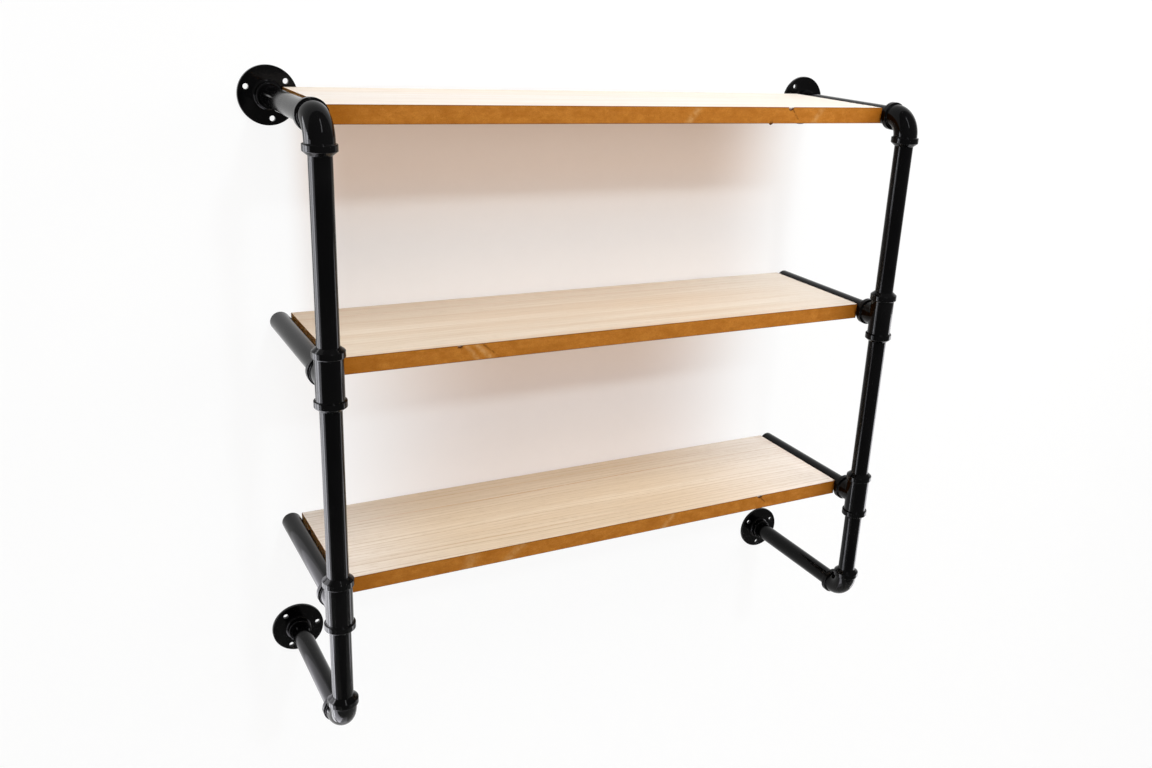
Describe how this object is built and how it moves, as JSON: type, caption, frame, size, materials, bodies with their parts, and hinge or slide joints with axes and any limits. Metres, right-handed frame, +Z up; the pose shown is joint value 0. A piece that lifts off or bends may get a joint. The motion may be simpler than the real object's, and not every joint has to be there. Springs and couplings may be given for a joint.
{
  "type": "pipe wall shelf",
  "caption": "Wall shelf of plain wood boards held between side frames of black threaded pipe, with tee and elbow fittings and round wall flanges.",
  "frame": {"origin": "on the wall plane, at the centre of the four wall flanges", "axes": "+X to the right along the boards, +Y into the wall, +Z up"},
  "size_m": [0.914, 0.2706, 0.842],
  "materials": {
    "black_pipe": "gloss black paint on steel pipe",
    "black_casting": "gloss black paint on cast fittings",
    "board": "pale veneer faces on board with bare brown edges",
    "pin_steel": "plain steel"
  },
  "bodies": {
    "root": {"left_foot_elbow": "black_casting", "left_foot_flange": "black_casting", "left_foot_pipe": "black_pipe", "left_foot_upright": "black_pipe", "left_low_pipe": "black_pipe", "left_low_tee": "black_casting", "left_lower_upright": "black_pipe", "left_mid_pipe": "black_pipe", "left_mid_tee": "black_casting", "left_top_elbow": "black_casting", "left_top_flange": "black_casting", "left_top_pipe": "black_pipe", "left_upper_upright": "black_pipe", "low_board": "board", "low_board_pins": "pin_steel", "mid_board": "board", "mid_board_pins": "pin_steel", "right_foot_elbow": "black_casting", "right_foot_flange": "black_casting", "right_foot_pipe": "black_pipe", "right_foot_upright": "black_pipe", "right_low_pipe": "black_pipe", "right_low_tee": "black_casting", "right_lower_upright": "black_pipe", "right_mid_pipe": "black_pipe", "right_mid_tee": "black_casting", "right_top_elbow": "black_casting", "right_top_flange": "black_casting", "right_top_pipe": "black_pipe", "right_upper_upright": "black_pipe", "top_board": "board", "top_board_pins": "pin_steel"}
  },
  "joints": []
}
